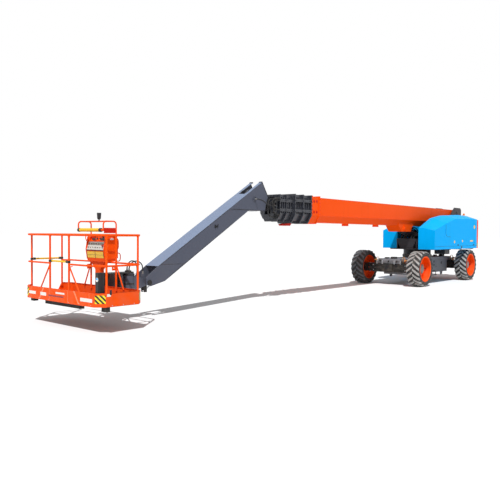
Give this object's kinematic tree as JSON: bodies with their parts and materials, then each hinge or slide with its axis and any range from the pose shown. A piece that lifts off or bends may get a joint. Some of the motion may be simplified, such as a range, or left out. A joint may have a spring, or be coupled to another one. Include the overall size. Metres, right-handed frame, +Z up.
{
  "type": "telescopic boom lift",
  "caption": "Self-propelled telescopic boom lift with a slewing turret, telescoping boom, hinged jib, levelled work basket and extending axles, stowed level.",
  "frame": {"origin": "on the ground under the middle of the stowed machine's length, in its middle plane", "axes": "+X along the machine, away from the basket; +Z up; +Y across, to the right when facing the counterweight's far side"},
  "size_m": [17.6098, 2.489, 2.946],
  "materials": {
    "tyre_rubber": "matte",
    "rim_orange": "gloss",
    "axle_black": "satin",
    "chassis_grey": "satin",
    "turret_dark": "satin",
    "counterweight_orange": "gloss",
    "engine_metal": "satin",
    "cowl_blue": "gloss",
    "boom_orange": "gloss",
    "section_dark": "satin",
    "jib_slate": "satin",
    "cylinder_black": "gloss",
    "rod_chrome": "polished",
    "basket_orange": "gloss",
    "rubber_black": "matte",
    "gate_yellow": "gloss",
    "box_black": "matte",
    "console_orange": "gloss",
    "hose_black": "satin"
  },
  "bodies": {
    "chassis": {"chassis_frame": "chassis_grey", "slewing_ring": "axle_black", "axle_housing_front": "axle_black", "axle_housing_rear": "axle_black"},
    "axle_front_left": {"axle_beam_front_left": "axle_black"},
    "steer_front_left": {"knuckle_front_left": "axle_black"},
    "wheel_front_left": {"tyre_front_left": "tyre_rubber", "rim_front_left": "rim_orange"},
    "axle_front_right": {"axle_beam_front_right": "axle_black"},
    "steer_front_right": {"knuckle_front_right": "axle_black"},
    "wheel_front_right": {"tyre_front_right": "tyre_rubber", "rim_front_right": "rim_orange"},
    "axle_rear_left": {"axle_beam_rear_left": "axle_black"},
    "steer_rear_left": {"knuckle_rear_left": "axle_black"},
    "wheel_rear_left": {"tyre_rear_left": "tyre_rubber", "rim_rear_left": "rim_orange"},
    "axle_rear_right": {"axle_beam_rear_right": "axle_black"},
    "steer_rear_right": {"knuckle_rear_right": "axle_black"},
    "wheel_rear_right": {"tyre_rear_right": "tyre_rubber", "rim_rear_right": "rim_orange"},
    "turret": {"turntable_frame": "turret_dark", "counterweight": "counterweight_orange", "engine_block": "engine_metal", "left_cowl": "cowl_blue", "right_cowl": "cowl_blue"},
    "left_hood": {"left_hood": "cowl_blue"},
    "right_hood": {"right_hood": "cowl_blue"},
    "lift_barrel": {"lift_cylinder_barrel": "cylinder_black"},
    "lift_rod": {"lift_cylinder_rod": "rod_chrome"},
    "boom_base": {"boom_base_section": "boom_orange"},
    "boom_2": {"boom_section_2": "section_dark"},
    "boom_3": {"boom_section_3": "section_dark"},
    "boom_4": {"boom_section_4": "section_dark", "boom_tip": "section_dark", "loop_hose": "hose_black", "pivot_hose": "hose_black"},
    "jib_barrel": {"jib_cylinder_barrel": "cylinder_black"},
    "jib_rod": {"jib_cylinder_rod": "rod_chrome"},
    "jib": {"jib_boom": "jib_slate"},
    "level_barrel": {"level_cylinder_barrel": "cylinder_black"},
    "level_rod": {"level_cylinder_rod": "rod_chrome"},
    "level_lever": {"level_link": "axle_black"},
    "rotator": {"platform_mount": "axle_black", "arch_hose_left": "hose_black", "arch_hose_right": "hose_black"},
    "basket": {"basket_support": "axle_black", "basket_floor": "basket_orange", "toe_boards": "basket_orange", "basket_top_rail": "basket_orange", "basket_lower_rails": "basket_orange", "bumper_bars": "rubber_black", "control_console": "console_orange", "console_pedestal": "basket_orange", "console_guard": "basket_orange", "junction_box": "box_black"},
    "front_gate": {"front_gate_bar": "gate_yellow"},
    "side_gate": {"side_gate_bar": "gate_yellow"}
  },
  "joints": [
    {"name": "axle_extend_front_left", "type": "slide", "parent": "chassis", "child": "axle_front_left", "axis": [0, -1, 0], "range_m": [0, 0.43]},
    {"name": "steer_front_left", "type": "hinge", "parent": "axle_front_left", "child": "steer_front_left", "pos_m": [7.65494, -0.8005, 0.5775], "axis": [0, 0, 1], "range_deg": [-30, 30]},
    {"name": "wheel_spin_front_left", "type": "hinge", "parent": "steer_front_left", "child": "wheel_front_left", "pos_m": [7.65494, -1.0225, 0.5775], "axis": [0, 1, 0], "continuous": true},
    {"name": "axle_extend_front_right", "type": "slide", "parent": "chassis", "child": "axle_front_right", "axis": [0, 1, 0], "range_m": [0, 0.43]},
    {"name": "steer_front_right", "type": "hinge", "parent": "axle_front_right", "child": "steer_front_right", "pos_m": [7.65494, 0.8005, 0.5775], "axis": [0, 0, 1], "range_deg": [-30, 30]},
    {"name": "wheel_spin_front_right", "type": "hinge", "parent": "steer_front_right", "child": "wheel_front_right", "pos_m": [7.65494, 1.0225, 0.5775], "axis": [0, 1, 0], "continuous": true},
    {"name": "axle_extend_rear_left", "type": "slide", "parent": "chassis", "child": "axle_rear_left", "axis": [0, -1, 0], "range_m": [0, 0.43]},
    {"name": "steer_rear_left", "type": "hinge", "parent": "axle_rear_left", "child": "steer_rear_left", "pos_m": [3.65494, -0.8005, 0.5775], "axis": [0, 0, -1], "range_deg": [-30, 30]},
    {"name": "wheel_spin_rear_left", "type": "hinge", "parent": "steer_rear_left", "child": "wheel_rear_left", "pos_m": [3.65494, -1.0225, 0.5775], "axis": [0, 1, 0], "continuous": true},
    {"name": "axle_extend_rear_right", "type": "slide", "parent": "chassis", "child": "axle_rear_right", "axis": [0, 1, 0], "range_m": [0, 0.43]},
    {"name": "steer_rear_right", "type": "hinge", "parent": "axle_rear_right", "child": "steer_rear_right", "pos_m": [3.65494, 0.8005, 0.5775], "axis": [0, 0, -1], "range_deg": [-30, 30]},
    {"name": "wheel_spin_rear_right", "type": "hinge", "parent": "steer_rear_right", "child": "wheel_rear_right", "pos_m": [3.65494, 1.0225, 0.5775], "axis": [0, 1, 0], "continuous": true},
    {"name": "turret_slew", "type": "hinge", "parent": "chassis", "child": "turret", "pos_m": [5.65494, 0, 1], "axis": [0, 0, 1], "continuous": true},
    {"name": "left_hood_hinge", "type": "hinge", "parent": "turret", "child": "left_hood", "pos_m": [7.15494, -0.658, 2.407], "axis": [-1, 0, 0], "range_deg": [0, 60]},
    {"name": "right_hood_hinge", "type": "hinge", "parent": "turret", "child": "right_hood", "pos_m": [7.15494, 0.658, 2.407], "axis": [1, 0, 0], "range_deg": [0, 60]},
    {"name": "boom_luff", "type": "hinge", "parent": "turret", "child": "boom_base", "pos_m": [8.37494, 0, 2.43], "axis": [0, 1, 0], "range_deg": [0, 75]},
    {"name": "lift_cylinder_tilt", "type": "hinge", "parent": "turret", "child": "lift_barrel", "pos_m": [6.95494, 0, 1.44], "axis": [0, 1, 0], "range_deg": [-0.05, 78.61]},
    {"name": "lift_cylinder_stroke", "type": "slide", "parent": "lift_barrel", "child": "lift_rod", "axis": [-0.9872, 0, 0.1593], "range_m": [-0.0005, 2.09485]},
    {"name": "boom_extend_2", "type": "slide", "parent": "boom_base", "child": "boom_2", "axis": [-1, 0, 0], "range_m": [0, 8]},
    {"name": "boom_extend_3", "type": "slide", "parent": "boom_2", "child": "boom_3", "axis": [-1, 0, 0], "range_m": [0, 8]},
    {"name": "boom_extend_4", "type": "slide", "parent": "boom_3", "child": "boom_4", "axis": [-1, 0, 0], "range_m": [0, 8]},
    {"name": "jib_luff", "type": "hinge", "parent": "boom_4", "child": "jib", "pos_m": [-3.74506, 0, 2.52], "axis": [0, -1, 0], "range_deg": [-105, 7]},
    {"name": "jib_cylinder_tilt", "type": "hinge", "parent": "boom_4", "child": "jib_barrel", "pos_m": [-1.84506, 0, 2.345], "axis": [0, 1, 0], "range_deg": [-1.92, 0.17]},
    {"name": "jib_cylinder_stroke", "type": "slide", "parent": "jib_barrel", "child": "jib_rod", "axis": [-0.9998, 0, -0.0214], "range_m": [-0.0443, 0.65745]},
    {"name": "level_lever_tilt", "type": "hinge", "parent": "jib", "child": "level_lever", "pos_m": [-6.92594, 0, 0.7086], "axis": [0, 1, 0], "range_deg": [-105.05, 7.05]},
    {"name": "level_cylinder_tilt", "type": "hinge", "parent": "jib", "child": "level_barrel", "pos_m": [-6.18297, 0, 1.01151], "axis": [0, 1, 0], "range_deg": [-0.88, 12.56]},
    {"name": "level_cylinder_stroke", "type": "slide", "parent": "level_barrel", "child": "level_rod", "axis": [-0.829, 0, -0.5592], "range_m": [-0.23846, 0.01636]},
    {"name": "platform_tilt", "type": "hinge", "parent": "level_lever", "child": "rotator", "pos_m": [-6.92594, 0, 0.7086], "axis": [0, -1, 0], "range_deg": [-0.05, 75.05]},
    {"name": "platform_rotate", "type": "hinge", "parent": "rotator", "child": "basket", "pos_m": [-7.29494, 0, 0.7], "axis": [0, 0, 1], "range_deg": [-90, 90]},
    {"name": "front_gate_lift", "type": "slide", "parent": "basket", "child": "front_gate", "axis": [0, 0, 1], "range_m": [0, 0.4]},
    {"name": "side_gate_lift", "type": "slide", "parent": "basket", "child": "side_gate", "axis": [0, 0, 1], "range_m": [0, 0.4]}
  ],
  "couplings": [
    {"joint": "axle_extend_front_right", "follows": "axle_extend_front_left", "ratio": 1},
    {"joint": "steer_front_right", "follows": "steer_front_left", "ratio": 1},
    {"joint": "axle_extend_rear_right", "follows": "axle_extend_rear_left", "ratio": 1},
    {"joint": "steer_rear_right", "follows": "steer_rear_left", "ratio": 1},
    {"joint": "lift_cylinder_tilt", "follows": "boom_luff", "ratio": 1.0475},
    {"joint": "lift_cylinder_stroke", "follows": "boom_luff", "m_per_rad": 1.6},
    {"joint": "boom_extend_3", "follows": "boom_extend_2", "ratio": 1},
    {"joint": "boom_extend_4", "follows": "boom_extend_2", "ratio": 1},
    {"joint": "jib_cylinder_tilt", "follows": "jib_luff", "ratio": 0.01785},
    {"joint": "jib_cylinder_stroke", "follows": "jib_luff", "m_per_rad": -0.35848},
    {"joint": "level_lever_tilt", "follows": "jib_luff", "ratio": 1},
    {"joint": "level_cylinder_tilt", "follows": "jib_luff", "ratio": -0.11916},
    {"joint": "level_cylinder_stroke", "follows": "jib_luff", "m_per_rad": 0.12985},
    {"joint": "platform_tilt", "follows": "boom_luff", "ratio": 1}
  ]
}
